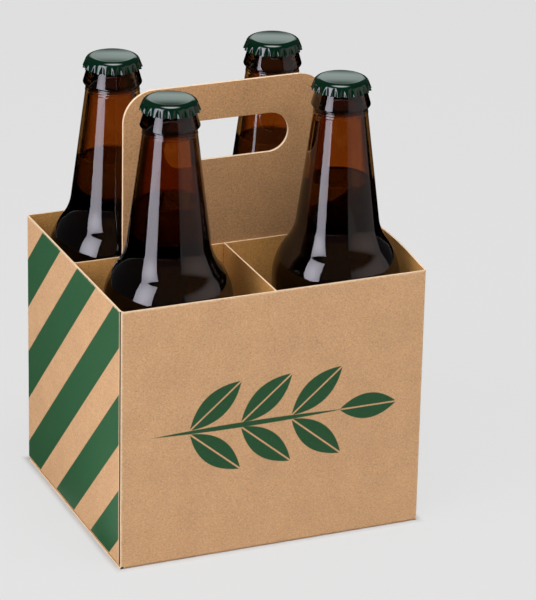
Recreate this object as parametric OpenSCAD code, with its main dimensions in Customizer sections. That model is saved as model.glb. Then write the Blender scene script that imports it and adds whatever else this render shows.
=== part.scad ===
// Kraft card carrier with a hand slot, holding four capped amber bottles in four cells.
// The origin is the middle of the underside. The front wall faces -Y and +Z is up.

/* [Card] */
// Thickness of one ply of card
card_t = 0.8; // [0.6:0.1:1.1]
// Inside radius of a creased fold
fold_r = 0.5; // [0.3:0.1:0.8]
// Play on each side of a slot or a loose cut edge
card_play = 0.2; // [0.1:0.05:0.4]
// How far tucked flaps stand back from the walls beside them
flap_back = 1.5; // [1:0.1:3]
// Length lost to the slanted ends of glued flaps
flap_slant = 8; // [4:0.5:12]

/* [Box] */
// Height of the walls
wall_h = 132; // [110:1:145]
// Room beside each bottle across the front
room_across = 14.3; // [8:0.1:20]
// Room beside each bottle from front to back
room_deep = 2.1; // [1:0.1:6]
// Width of the flap that closes the front corner
corner_flap_w = 16; // [10:1:24]
// Height of the base panel's flap inside the back wall
base_flap_h = 22; // [15:1:30]
// Gap between the two end flaps on the base panel
end_flap_gap = 12; // [6:0.5:20]
// Width of the divider's glued end tabs
tab_w = 14; // [10:1:20]

/* [Handle] */
// Width of the handle panel
handle_w = 104.4; // [90:0.2:120]
// Height of the handle above the walls
handle_rise = 82; // [70:1:95]
// Radius of the handle's upper corners
handle_corner_r = 15.5; // [8:0.5:24]
// Length of the hand slot
grip_w = 65; // [50:1:75]
// Height of the hand slot
grip_h = 20; // [16:0.5:26]
// Distance from the handle's top edge to the middle of the hand slot
grip_drop = 28; // [22:0.5:34]

/* [Bottle] */
// Diameter of the body
bottle_d = 62; // [60:0.5:66]
// Height of the glass
bottle_h = 219.6; // [210:0.2:230]
// Height of the straight side
side_h = 119.2; // [105:0.2:122]
// Radius of the rounded shoulder
shoulder_r = 29; // [26:0.5:30]
// Radius of the hollow curve from shoulder to neck
neck_blend_r = 24.5; // [20:0.5:30]
// Diameter of the neck just under the collar
neck_d = 25.2; // [24.4:0.2:26]
// Slope of the neck's side, in degrees
neck_slope = 7.3; // [6:0.1:8]
// Thickness of the glass
glass_t = 2.6; // [2:0.1:3.4]
// Thickness of the glass base
base_t = 5; // [4:0.2:7]
// Radius of the heel
heel_r = 4; // [3:0.2:6]
// Height of the hollow under the base
punt_h = 3; // [1:0.2:5]
// Height of the drink above the bottle's foot
fill_h = 171.4; // [150:0.2:190]

/* [Bottle mouth] */
// Diameter of the mouth
mouth_d = 16.6; // [15:0.2:18]
// Depth of the straight bore of the mouth
mouth_depth = 13; // [10:0.5:15]
// Diameter of the collar
collar_d = 28.4; // [27.8:0.1:29]
// Radius of the collar's lower edge
collar_bead_r = 0.8; // [0.5:0.1:1]
// Distance from the top of the glass to the widest part of the collar
collar_drop = 12.3; // [11.8:0.1:13]
// Diameter of the throat between collar and lip
throat_d = 24.8; // [24.4:0.1:25.2]
// Height of the lip, which narrows down to the throat
lip_h = 5.8; // [5.4:0.1:6.4]

/* [Crown cap] */
// Widest diameter, over the flutes
cap_d = 29; // [28.6:0.1:29.8]
// Height of the cap
cap_h = 5; // [4.8:0.1:5.4]
// Diameter of the flat top
cap_flat_d = 22.4; // [22:0.1:22.8]
// Radius of the rounded edge
cap_round = 2.8; // [2.6:0.1:3]
// Thickness of the sheet metal
cap_sheet = 0.3; // [0.2:0.02:0.4]
// How far the skirt is crimped in under the lip
cap_crimp = 0.6; // [0.4:0.05:0.7]
// Number of flutes round the skirt
flute_count = 21; // [15:1:23]
// Radius of each flute
flute_r = 1.9; // [1.5:0.05:2]
// Room between the cap and the rounded edge of the lip
cap_play = 0.2; // [0.16:0.02:0.3]
// Thickness of the sealing disc
liner_t = 0.5; // [0.3:0.05:0.7]

/* [Hidden] */
$fn = 96;

// Colours of the pieces
kraft = [0.75, 0.58, 0.41];
kraft_inside = [0.66, 0.49, 0.34];
amber = [0.36, 0.16, 0.04];
dark_drink = [0.12, 0.05, 0.02];
cap_green = [0.08, 0.27, 0.17];
liner_grey = [0.82, 0.82, 0.8];

// Each cell is a bottle and its room. The handle's two plies stand on the middle plane, with
// the divider in front of them, and the base panel's flap is one ply inside the back wall.
fold_out = fold_r + card_t;
cell_w = bottle_d + room_across;
cell_d = bottle_d + room_deep;
half_w = cell_w + card_t * 3 / 2;
half_d = cell_d + card_t * 3;
inner_x = half_w - card_t;
inner_y = half_d - card_t;
floor_z = 2 * card_t;
divider_y = -2 * card_t;
lap_z = (floor_z + wall_h) / 2;
slot_w = card_t + 2 * card_play;
handle_top = wall_h + handle_rise;

// Share of the cell's room that each bottle has slid, to the right and to the back
LEFT = -1;
RIGHT = 1;
FRONT_LEFT = [LEFT, "front", [-0.43, -0.2]];
FRONT_RIGHT = [RIGHT, "front", [0.94, 0.8]];
BACK_LEFT = [LEFT, "back", [-0.94, 0.1]];
BACK_RIGHT = [RIGHT, "back", [-0.1, 0.1]];

// Middle of the bottle in a cell
function spot(cell) = [
    cell[0] * (card_t + cell_w) / 2 + cell[2][0] * room_across / 2,
    (cell[1] == "front" ? divider_y - cell_d / 2 : card_t + cell_d / 2) + cell[2][1] * room_deep / 2,
    floor_z
];

// Points of an arc about a centre, from one angle to another
function arc(centre, r, from, to, steps = 10) = [
    for (i = [0 : steps])
        let (a = from + (to - from) * i / steps)
        centre + r * [cos(a), sin(a)]
];

// Points of a shallow dome from the axis out to a radius
function dome(r, rise, z) =
    let (ball_r = (r * r + rise * rise) / (2 * rise))
    arc([0, z + rise - ball_r], ball_r, 90, 90 - asin(r / ball_r), 6);

function reversed(list) = [for (i = [len(list) - 1 : -1 : 0]) list[i]];

// The neck's side is a straight line. The hollow curve touches that line and the shoulder.
neck_h = bottle_h - collar_drop - collar_bead_r;
neck_out = [cos(neck_slope), sin(neck_slope)];
neck_down = [sin(neck_slope), -cos(neck_slope)];
neck_end = [neck_d / 2, neck_h];
shoulder_c = [bottle_d / 2 - shoulder_r, side_h];
reach = neck_end + neck_blend_r * neck_out - shoulder_c;
along = reach * neck_down;
span = shoulder_r + neck_blend_r;
blend_c = shoulder_c + reach + neck_down * (-along - sqrt(along * along - reach * reach + span * span));
shoulder_turn = atan2(blend_c[1] - shoulder_c[1], blend_c[0] - shoulder_c[0]);

// Side of the bottle from the top of the straight wall to the neck's end, set in by a wall
function side(inset) = concat(
    arc(shoulder_c, shoulder_r - inset, 0, shoulder_turn),
    arc(blend_c, neck_blend_r + inset, shoulder_turn + 180, neck_slope + 180),
    [neck_end - inset * neck_out]
);

// Lip and cap share the centre of their rounded edges, one sheet and one play apart
cap_flat_r = cap_flat_d / 2;
cap_cavity_r = cap_flat_r + cap_round - cap_sheet;
lip_round = cap_round - cap_sheet - cap_play;
lip_r = cap_flat_r + lip_round;
mouth_r = mouth_d / 2;
mouth_round = (cap_flat_r - mouth_r) / 2;
collar_c = [collar_d / 2 - collar_bead_r, bottle_h - collar_drop];
throat_z = bottle_h - lip_h;
collar_to = atan2(collar_d / 2 - throat_d / 2, throat_z - collar_c[1]);

outer_profile = concat(
    dome(bottle_d / 2 - heel_r - glass_t, punt_h, 0),
    arc([bottle_d / 2 - heel_r, heel_r], heel_r, -90, 0, 6),
    side(0),
    arc(collar_c, collar_bead_r, -90, collar_to, 8),
    [[throat_d / 2, throat_z]],
    arc([cap_flat_r, bottle_h - lip_round], lip_round, 0, 90, 6),
    arc([mouth_r + mouth_round, bottle_h - mouth_round], mouth_round, 90, 180, 6)
);
inner_profile = concat(
    dome(bottle_d / 2 - heel_r - glass_t, punt_h, base_t),
    arc([bottle_d / 2 - heel_r - glass_t, base_t + heel_r], heel_r, -90, 0, 6),
    side(glass_t)
);

// The skirt is a straight line from its edge that touches the rounded edge of the cap
cap_r = cap_d / 2;
cap_round_c = [cap_flat_r, cap_h - cap_round];
skirt = [cap_r, 0] - cap_round_c;
skirt_turn = atan2(skirt[1], skirt[0]) + acos(cap_round / norm(skirt));
cap_z = bottle_h + liner_t + cap_sheet - cap_h;

// The room inside the skirt narrows to its edge, and the flutes lean with it, one sheet outside
crimp_r = cap_cavity_r - cap_crimp;
flute_lean = atan(cap_crimp / cap_round_c[1]);

module upright(from) {
    translate([0, 0, from])
        linear_extrude(wall_h - from)
            children();
}

// Plate drawn as seen from the front, x across and z up, from one y to another
module face_plate(front_y, back_y) {
    translate([0, back_y, 0])
        rotate([90, 0, 0])
            linear_extrude(back_y - front_y)
                children();
}

// Plate drawn as seen from the right, y across and z up, from one x to another
module side_plate(left_x, right_x) {
    translate([left_x, 0, 0])
        rotate([90, 0, 90])
            linear_extrude(right_x - left_x)
                children();
}

// Rectangle between two corners
module panel(low, high) {
    translate(low)
        square(high - low);
}

// Quarter turn of card round a fold, starting at an angle
module fold(centre, from) {
    translate(centre)
        rotate(from)
            intersection() {
                difference() {
                    circle(fold_out);
                    circle(fold_r);
                }
                square(fold_out);
            }
}

// Glued flap with slanted ends, hinged along its left edge
module slanted_flap(low, high) {
    polygon([
        low,
        [high[0], low[1] + flap_slant],
        [high[0], high[1] - flap_slant],
        [low[0], high[1]]
    ]);
}

// Front wall, folded into the base panel along its foot
module front_wall() {
    fold_x = half_w - fold_out;
    upright(fold_out)
        panel([card_play - half_w, -half_d], [fold_x, -inner_y]);
    upright(card_t + fold_out)
        fold([fold_x, fold_out - half_d], -90);
    side_plate(card_play - half_w, half_w - card_play) {
        fold([fold_out - half_d, fold_out], 180);
        panel([fold_out - half_d, 0], [inner_y - fold_out, card_t]);
    }
    side_plate(flap_back - inner_x, inner_x - flap_back) {
        fold([inner_y - fold_out, fold_out], -90);
        panel([inner_y - card_t, fold_out], [inner_y, base_flap_h]);
    }
}

// Back wall, with its cut foot level with the base panel's underside
module back_wall() {
    fold_x = half_w - fold_out;
    fold_y = half_d - fold_out;
    upright(0)
        panel([-fold_x, inner_y], [fold_x, half_d]);
    upright(card_t + fold_out) {
        fold([fold_x, fold_y], 0);
        fold([-fold_x, fold_y], 90);
    }
}

// End wall of one side, folded into a flap that lies on the base panel
module end_wall(front_y) {
    flap_z = card_t + fold_out;
    upright(flap_z)
        panel([inner_x, front_y], [half_w, half_d - fold_out]);
    face_plate(flap_back - inner_y, inner_y - card_t - flap_back) {
        fold([half_w - fold_out, flap_z], -90);
        panel([end_flap_gap / 2, card_t], [half_w - fold_out, floor_z]);
    }
}

// Flap on the left wall that is glued behind the front wall and closes the box
module corner_flap() {
    fold_x = fold_out - half_w;
    foot_z = card_t + fold_out;
    upright(foot_z)
        fold([fold_x, fold_out - inner_y], 180);
    face_plate(-inner_y, card_t - inner_y)
        slanted_flap([fold_x, foot_z], [fold_x + corner_flap_w, wall_h]);
}

// One sheet of card folded into four walls, a base and its flaps
module carrier_box() {
    color(kraft) {
        front_wall();
        back_wall();
        end_wall(fold_out - half_d);
        mirror([1, 0, 0])
            end_wall(fold_out - inner_y);
        corner_flap();
    }
}

// Tab on the divider's right end, glued to the end wall
module divider_tab() {
    fold_c = [inner_x - fold_out, divider_y + fold_out];
    foot_z = floor_z + fold_r;
    upright(foot_z)
        fold(fold_c, -90);
    side_plate(inner_x - card_t, inner_x)
        slanted_flap([fold_c[1], foot_z], [fold_c[1] + tab_w, wall_h]);
}

// Sheet between the front and back cells, slotted from above for the cross partition
module divider() {
    half_sheet = inner_x - fold_out;
    color(kraft_inside) {
        face_plate(divider_y, divider_y + card_t)
            difference() {
                panel([-half_sheet, floor_z], [half_sheet, wall_h]);
                panel([-slot_w / 2, lap_z - card_play], [slot_w / 2, wall_h + card_play]);
            }
        divider_tab();
        mirror([1, 0, 0])
            divider_tab();
    }
}

// Sheet from the front wall to the back wall, slotted from below over the divider
module cross_partition() {
    front_y = card_play - inner_y;
    back_y = inner_y - card_play;
    flap_y = back_y - card_t;
    foot_z = card_t;
    flap_z = base_flap_h + card_play;
    color(kraft_inside)
        side_plate(-card_t / 2, card_t / 2)
            difference() {
                polygon([
                    [front_y + fold_r, foot_z],
                    [flap_y - fold_r, foot_z],
                    [flap_y, foot_z + fold_r],
                    [flap_y, flap_z],
                    [back_y, flap_z],
                    [back_y, wall_h],
                    [front_y, wall_h],
                    [front_y, foot_z + fold_r]
                ]);
                panel([divider_y - card_play, 0], [divider_y + card_t + card_play, lap_z + card_play]);
            }
}

// Hand slot with round ends
module grip_hole() {
    end_x = (grip_w - grip_h) / 2;
    translate([0, handle_top - grip_drop]) {
        square([2 * end_x, grip_h], center = true);
        for (end = [LEFT, RIGHT])
            translate([end * end_x, 0])
                circle(d = grip_h);
    }
}

// Outline of the handle with its round upper corners
module handle_outline(foot_z) {
    half_handle = handle_w / 2;
    corner_x = half_handle - handle_corner_r;
    corner_z = handle_top - handle_corner_r;
    panel([-half_handle, foot_z], [half_handle, corner_z]);
    panel([-corner_x, corner_z], [corner_x, handle_top]);
    for (end = [LEFT, RIGHT])
        translate([end * corner_x, corner_z])
            circle(handle_corner_r);
}

// Two plies folded together along the foot and glued behind the divider
module handle_panel() {
    foot_z = floor_z + card_t;
    color(kraft_inside)
        difference() {
            union() {
                face_plate(-card_t, card_t)
                    difference() {
                        handle_outline(foot_z);
                        grip_hole();
                    }
                translate([0, 0, foot_z])
                    rotate([0, 90, 0])
                        cylinder(h = handle_w, r = card_t, center = true);
            }
            face_plate(-fold_out, fold_out)
                panel([-slot_w / 2, 0], [slot_w / 2, wall_h + card_play]);
        }
}

// Hollow glass bottle with a collar and a lip for the cap
module bottle(cell) {
    color(amber)
        translate(spot(cell))
            rotate_extrude()
                polygon(concat(
                    outer_profile,
                    [[mouth_r, bottle_h - mouth_depth]],
                    reversed(inner_profile)
                ));
}

// Drink that fills the bottle to its level
module drink(cell) {
    color(dark_drink)
        translate(spot(cell))
            intersection() {
                rotate_extrude()
                    polygon(concat(inner_profile, [[0, neck_h]]));
                cylinder(h = fill_h, r = bottle_d);
            }
}

// Pressed metal cap with a fluted skirt crimped round the lip
module crown_cap(cell) {
    color(cap_green)
        translate(spot(cell) + [0, 0, cap_z])
            difference() {
                rotate_extrude()
                    polygon(concat(
                        [[0, cap_h - cap_sheet], [0, cap_h]],
                        arc(cap_round_c, cap_round, 90, skirt_turn, 8),
                        [[cap_r, 0], [crimp_r, 0]],
                        arc(cap_round_c, cap_round - cap_sheet, 0, 90, 8)
                    ));
                for (i = [0 : flute_count - 1])
                    rotate(i * 360 / flute_count)
                        translate([crimp_r + cap_sheet, 0, 0])
                            rotate([0, flute_lean, 0])
                                translate([flute_r, 0, -cap_h])
                                    cylinder(h = 2 * cap_h, r = flute_r, $fn = 24);
            }
}

// Sealing disc between the top of the glass and the cap
module cap_liner(cell) {
    color(liner_grey)
        translate(spot(cell) + [0, 0, bottle_h])
            cylinder(h = liner_t, r = cap_flat_r - cap_play);
}

carrier_box();
divider();
cross_partition();
handle_panel();
bottle(FRONT_LEFT);  // bottle_front_left
bottle(FRONT_RIGHT);  // bottle_front_right
bottle(BACK_LEFT);  // bottle_back_left
bottle(BACK_RIGHT);  // bottle_back_right
drink(FRONT_LEFT);  // drink_front_left
drink(FRONT_RIGHT);  // drink_front_right
drink(BACK_LEFT);  // drink_back_left
drink(BACK_RIGHT);  // drink_back_right
crown_cap(FRONT_LEFT);  // crown_cap_front_left
crown_cap(FRONT_RIGHT);  // crown_cap_front_right
crown_cap(BACK_LEFT);  // crown_cap_back_left
crown_cap(BACK_RIGHT);  // crown_cap_back_right
cap_liner(FRONT_LEFT);  // cap_liner_front_left
cap_liner(FRONT_RIGHT);  // cap_liner_front_right
cap_liner(BACK_LEFT);  // cap_liner_back_left
cap_liner(BACK_RIGHT);  // cap_liner_back_right
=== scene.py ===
import logging
import math
from dataclasses import dataclass, field
from enum import Enum, IntEnum
from typing import Callable

import bpy
import numpy as np
from mathutils import Matrix, Vector
from mathutils.geometry import delaunay_2d_cdt


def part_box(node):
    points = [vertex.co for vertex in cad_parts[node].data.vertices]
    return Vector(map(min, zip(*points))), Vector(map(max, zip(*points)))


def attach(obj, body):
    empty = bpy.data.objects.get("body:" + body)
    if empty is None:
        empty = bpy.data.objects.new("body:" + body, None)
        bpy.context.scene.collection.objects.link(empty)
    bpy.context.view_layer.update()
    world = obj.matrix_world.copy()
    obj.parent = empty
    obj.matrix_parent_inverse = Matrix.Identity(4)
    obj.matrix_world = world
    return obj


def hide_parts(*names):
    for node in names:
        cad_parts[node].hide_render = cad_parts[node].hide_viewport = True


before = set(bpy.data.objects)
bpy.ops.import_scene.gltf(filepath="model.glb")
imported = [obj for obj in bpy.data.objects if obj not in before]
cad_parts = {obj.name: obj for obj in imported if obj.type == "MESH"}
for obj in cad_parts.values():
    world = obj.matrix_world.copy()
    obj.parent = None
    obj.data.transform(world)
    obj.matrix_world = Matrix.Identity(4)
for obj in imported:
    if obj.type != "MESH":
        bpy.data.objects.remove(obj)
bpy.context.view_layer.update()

log = logging.getLogger("bottle_carrier")

# Sizes are in millimetres and angles in degrees, unless a docstring says metres.
MM = 0.001
BODY = "root"
IMAGE_LONG_SIDE = 600
CELLS = ("front_left", "front_right", "back_left", "back_right")
CAP_TURNS = (3.0, 9.5, 6.0, 13.0)
# Straight card left beyond a fold, and the clearance of faces that would touch.
STUB = 0.01
HAIR = 0.02

Array = np.ndarray
Color = tuple[float, float, float, float]
Socket = bpy.types.NodeSocket
Value = Socket | float | tuple[float, ...]

KRAFT: Color = (0.565, 0.33, 0.17, 1.0)
# Pale edge colour: partly wear, partly painted highlight where the rim and folds catch the light.
WORN_AND_HIGHLIT_KRAFT: Color = (0.78, 0.58, 0.39, 1.0)
GREEN_INK: Color = (0.012, 0.074, 0.026, 1.0)
DARK_FLECK: Color = (0.16, 0.085, 0.04, 1.0)
# Painted shade in the groove of the front left corner seam.
SEAM_SHADE: Color = (0.05, 0.026, 0.012, 1.0)
COOL_WHITE = (0.98, 0.94, 1.08)


def node_box(node: str) -> tuple[Array, Array]:
    """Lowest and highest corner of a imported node, in millimetres."""
    low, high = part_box(node)
    return np.array(low) / MM, np.array(high) / MM


def in_scene(name: str, data: bpy.types.ID) -> bpy.types.Object:
    """New object at the origin.

    Args:
        name: name of the object.
        data: mesh, camera or light that it shows.

    Returns:
        The object, linked to the scene.
    """
    made = bpy.data.objects.new(name, data)
    bpy.context.scene.collection.objects.link(made)
    return made


def grey(level: float) -> Color:
    """Neutral colour of one level."""
    return level, level, level, 1.0


def direction(azimuth: float, elevation: float) -> Vector:
    """Unit vector towards an azimuth, counted from the front to the right, and an elevation, in degrees."""
    az, el = math.radians(azimuth), math.radians(elevation)
    return Vector((math.sin(az) * math.cos(el), -math.cos(az) * math.cos(el), math.sin(el)))


def arc(centre: tuple[float, float], radius: float, start: float, end: float, steps: int) -> Array:
    """Points of a circle's arc, centre plus radius times cosine and sine of an even run of angles.

    Args:
        centre: middle of the circle.
        radius: radius of the circle.
        start: first angle in degrees.
        end: last angle in degrees.
        steps: number of chords.

    Returns:
        Array of steps + 1 points.
    """
    angle = np.radians(np.linspace(start, end, steps + 1))
    return np.array(centre) + radius * np.stack([np.cos(angle), np.sin(angle)], axis=1)


def without_repeats(points: Array) -> Array:
    """Drops each point that lies on the one before it."""
    moved = np.linalg.norm(np.diff(points, axis=0), axis=1) > 1e-6
    return points[np.concatenate([[True], moved])]


@dataclass
class Shell:
    """Points in millimetres, with blocks of faces and a material number for each face."""

    points: Array
    blocks: list[Array]
    looks: list[Array]

    def joined(self, other: "Shell") -> "Shell":
        """Both shells as one, the other's faces renumbered past this one's points.

        Args:
            other: shell to add.

        Returns:
            The joined shell.
        """
        moved = [block + len(self.points) for block in other.blocks]
        points = np.concatenate([self.points, other.points])
        return Shell(points, self.blocks + moved, self.looks + other.looks)

    def piece(self, name: str, materials: list[bpy.types.Material], sharp: float = 40.0) -> bpy.types.Object:
        """Puts the shell into a Blender object at the origin.

        Args:
            name: name of the piece.
            materials: materials in the order of the material numbers.
            sharp: angle in degrees above which an edge is shaded sharp.

        Returns:
            The new object, linked to the scene.
        """
        mesh = bpy.data.meshes.new(name)
        faces = [face for block in self.blocks for face in block.tolist()]
        mesh.from_pydata((self.points * MM).tolist(), [], faces)
        for material in materials:
            mesh.materials.append(material)
        mesh.polygons.foreach_set("material_index", np.concatenate(self.looks).astype(np.int32))
        mesh.polygons.foreach_set("use_smooth", np.ones(len(faces), dtype=bool))
        mesh.set_sharp_from_angle(angle=math.radians(sharp))
        mesh.update()
        return in_scene(name, mesh)


def install(piece: bpy.types.Object, node: str) -> bpy.types.Object:
    """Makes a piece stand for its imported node.

    Args:
        piece: the dressed piece.
        node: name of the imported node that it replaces.

    Returns:
        The same piece.
    """
    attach(piece, BODY)
    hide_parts(node)
    log.info("%s: %d points, %d faces", piece.name, len(piece.data.vertices), len(piece.data.polygons))
    return piece


def turned(radius: Array, height: Array, centre: Array, turns: int) -> Shell:
    """Closed surface of revolution whose profile starts and ends on the axis.

    Point of row i and column j: the axis plus radius[i, j] times the cosine and sine of column j's
    angle, at height[i]. The first and last row are single points, joined to their ring by a fan.

    Args:
        radius: radius of each row, or of each row and column.
        height: height of each row.
        centre: foot of the axis.
        turns: number of columns round the axis.

    Returns:
        Shell with faces pointing outwards for a profile that runs upwards outside and down inside.
    """
    angle = np.linspace(0.0, 2.0 * np.pi, turns, endpoint=False)
    radius = np.broadcast_to(radius.reshape(len(radius), -1), (len(height), turns))
    rings = radius[1:-1]
    grid = np.stack([
        rings * np.cos(angle),
        rings * np.sin(angle),
        np.broadcast_to(height[1:-1, None], rings.shape),
    ], axis=2).reshape(-1, 3)
    poles = np.array([[0.0, 0.0, height[0]], [0.0, 0.0, height[-1]]])
    points = np.concatenate([grid, poles]) + centre
    column = np.arange(turns)
    beside = np.roll(column, -1)
    row = np.arange(len(rings) - 1)[:, None] * turns
    walls = np.stack([row + column, row + beside, row + turns + beside, row + turns + column], axis=2)
    last = (len(rings) - 1) * turns
    first_fan = np.stack([np.full(turns, len(grid)), beside, column], axis=1)
    last_fan = np.stack([np.full(turns, len(grid) + 1), last + column, last + beside], axis=1)
    blocks = [walls.reshape(-1, 4), first_fan, last_fan]
    return Shell(points, blocks, [np.zeros(len(block), dtype=int) for block in blocks])


class Graph:
    """Adds nodes to one node tree and joins their sockets."""

    def __init__(self, tree: bpy.types.NodeTree) -> None:
        """Starts on an existing node tree."""
        self.tree = tree

    def feed(self, node: bpy.types.Node, inputs: dict[str | int, Value]) -> None:
        """Sets inputs of a node.

        Args:
            node: node of this graph.
            inputs: value or source socket for each named or numbered input.
        """
        for key, value in inputs.items():
            if isinstance(value, bpy.types.NodeSocket):
                self.tree.links.new(value, node.inputs[key])
            else:
                node.inputs[key].default_value = value

    def add(
        self, kind: str, inputs: dict[str | int, Value] | None = None, **settings: object,
    ) -> bpy.types.Node:
        """Adds one node.

        Args:
            kind: type name of the node.
            inputs: value or source socket for each named or numbered input.
            settings: properties of the node.

        Returns:
            The new node.
        """
        node = self.tree.nodes.new(kind)
        for key, value in settings.items():
            setattr(node, key, value)
        self.feed(node, inputs or {})
        return node

    def point(self) -> Socket:
        """Place on the object in its own coordinates, in metres."""
        return self.add("ShaderNodeTexCoord").outputs["Object"]

    def split(self, vector: Socket) -> bpy.types.NodeOutputs:
        """Coordinates of a vector."""
        return self.add("ShaderNodeSeparateXYZ", {0: vector}).outputs

    def scaled(self, vector: Value, factor: Value) -> Socket:
        """Vector or colour times a factor."""
        return self.add("ShaderNodeVectorMath", {0: vector, "Scale": factor}, operation="SCALE").outputs[0]

    def math(self, operation: str, *values: Value, clamp: bool = False) -> Socket:
        """Result of a Math node on one to three values."""
        node = self.add("ShaderNodeMath", dict(enumerate(values)), operation=operation, use_clamp=clamp)
        return node.outputs[0]

    def mix(self, factor: Value, first: Value, second: Value) -> Socket:
        """Colour mixed from two colours by a factor."""
        return self.add("ShaderNodeMix", {0: factor, 6: first, 7: second}, data_type="RGBA").outputs[2]

    def noise(self, vector: Socket, scale: float, detail: float, roughness: float = 0.5) -> Socket:
        """Value of a Noise Texture."""
        inputs = {"Vector": vector, "Scale": scale, "Detail": detail, "Roughness": roughness}
        return self.add("ShaderNodeTexNoise", inputs).outputs["Fac"]

    def soft_edge(self, distance: Socket, width: float) -> Socket:
        """Mask that goes from 0 to 1 as a signed distance crosses zero within a width."""
        return self.math("MULTIPLY_ADD", distance, 1.0 / width, 0.5, clamp=True)

    def smooth(self, value: Socket, low: float, high: float, start: float = 0.0, end: float = 1.0) -> Socket:
        """Smooth step between two results as a value goes from low to high."""
        span = {"Value": value, "From Min": low, "From Max": high, "To Min": start, "To Max": end}
        return self.add("ShaderNodeMapRange", span, interpolation_type="SMOOTHSTEP").outputs[0]

    def past(self, way: Socket, limit: Value) -> Socket:
        """How far a coordinate lies past a limit on either side of zero."""
        return self.math("SUBTRACT", self.math("ABSOLUTE", way), limit)


class NodeGroup:
    """Shader node group with named inputs and outputs, built once and placed in many materials."""

    def __init__(self, name: str, inputs: dict[str, tuple[str, object]], outputs: dict[str, str]) -> None:
        """Makes the group's sockets.

        Args:
            name: name of the group.
            inputs: socket type and default value of each input.
            outputs: socket type of each output.
        """
        self.tree = bpy.data.node_groups.new(name, "ShaderNodeTree")
        for title, (kind, default) in inputs.items():
            socket = self.tree.interface.new_socket(title, in_out="INPUT", socket_type=kind)
            if default is not None:
                socket.default_value = default
        for title, kind in outputs.items():
            self.tree.interface.new_socket(title, in_out="OUTPUT", socket_type=kind)
        self.graph = Graph(self.tree)
        self.inputs = self.graph.add("NodeGroupInput").outputs
        self.outputs = self.graph.add("NodeGroupOutput").inputs

    def give(self, title: str, socket: Socket) -> None:
        """Joins a socket to a named output of the group."""
        self.tree.links.new(socket, self.outputs[title])

    def place(self, graph: Graph, inputs: dict[str | int, Value]) -> bpy.types.NodeOutputs:
        """Places the group in a material and returns its output sockets."""
        return graph.add("ShaderNodeGroup", inputs, node_tree=self.tree).outputs


def kraft_group() -> NodeGroup:
    """Paper fibres: slightly drawn-out noise, soft clouds, fine tooth and scattered dark flecks.

    Returns:
        Group with the paper's colour, its height for bump and its roughness.
    """
    group = NodeGroup(
        "kraft fibres",
        {
            "Point": ("NodeSocketVector", None),
            "Paper": ("NodeSocketColor", KRAFT),
            "Grain": ("NodeSocketFloat", 1.0),
            "Flecks": ("NodeSocketFloat", 0.5),
        },
        {"Color": "NodeSocketColor", "Height": "NodeSocketFloat", "Roughness": "NodeSocketFloat"},
    )
    graph = group.graph
    point = graph.scaled(group.inputs["Point"], 1.0 / MM)
    drawn_out = graph.add("ShaderNodeMapping", {"Vector": point, "Scale": (0.9, 0.9, 1.2)}).outputs[0]
    fibre = graph.noise(drawn_out, 1.0, 4.0, 0.62)
    cloud = graph.noise(point, 0.07, 3.0)
    tooth = graph.noise(point, 1.35, 2.0, 0.6)
    layers = ((fibre, 0.55), (cloud, 0.22), (tooth, 0.66))
    shade: Value = -sum(amount for _, amount in layers) / 2.0
    for layer, amount in layers:
        shade = graph.math("MULTIPLY_ADD", layer, amount, shade)
    shade = graph.math("MULTIPLY_ADD", shade, group.inputs["Grain"], 1.0)
    paper = graph.scaled(group.inputs["Paper"], shade)
    fleck_spread, fleck_least, fleck_blur = 0.34, -0.14, 0.12
    specks = graph.add("ShaderNodeTexVoronoi", {"Vector": drawn_out, "Scale": 0.62}, feature="F1")
    rare = graph.add("ShaderNodeSeparateColor", {0: specks.outputs["Color"]}).outputs[0]
    size = graph.math("MULTIPLY_ADD", rare, fleck_spread, fleck_least)
    speck = graph.soft_edge(graph.math("SUBTRACT", size, specks.outputs["Distance"]), fleck_blur)
    speck = graph.math("MULTIPLY", speck, group.inputs["Flecks"])
    group.give("Color", graph.mix(speck, paper, DARK_FLECK))
    tooth_height, fibre_height = 0.5, 0.6
    raised = graph.math("MULTIPLY", fibre, fibre_height)
    group.give("Height", graph.math("MULTIPLY_ADD", tooth, tooth_height, raised))
    rough_spread, rough_least = 0.24, 0.6
    group.give("Roughness", graph.math("MULTIPLY_ADD", fibre, rough_spread, rough_least))
    return group


def ink_group() -> NodeGroup:
    """Ink over paper: the ink's mask is thinned where the paper's tooth stands proud.

    Returns:
        Group with the printed colour.
    """
    group = NodeGroup(
        "ink on paper",
        {
            "Paper": ("NodeSocketColor", KRAFT),
            "Ink": ("NodeSocketColor", GREEN_INK),
            "Mask": ("NodeSocketFloat", 0.0),
            "Height": ("NodeSocketFloat", 0.5),
        },
        {"Color": "NodeSocketColor"},
    )
    graph = group.graph
    full_cover, thinning = 1.045, 0.1
    cover = graph.math("MULTIPLY_ADD", group.inputs["Height"], -thinning, full_cover, clamp=True)
    cover = graph.math("MULTIPLY", cover, group.inputs["Mask"])
    group.give("Color", graph.mix(cover, group.inputs["Paper"], group.inputs["Ink"]))
    return group


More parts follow.
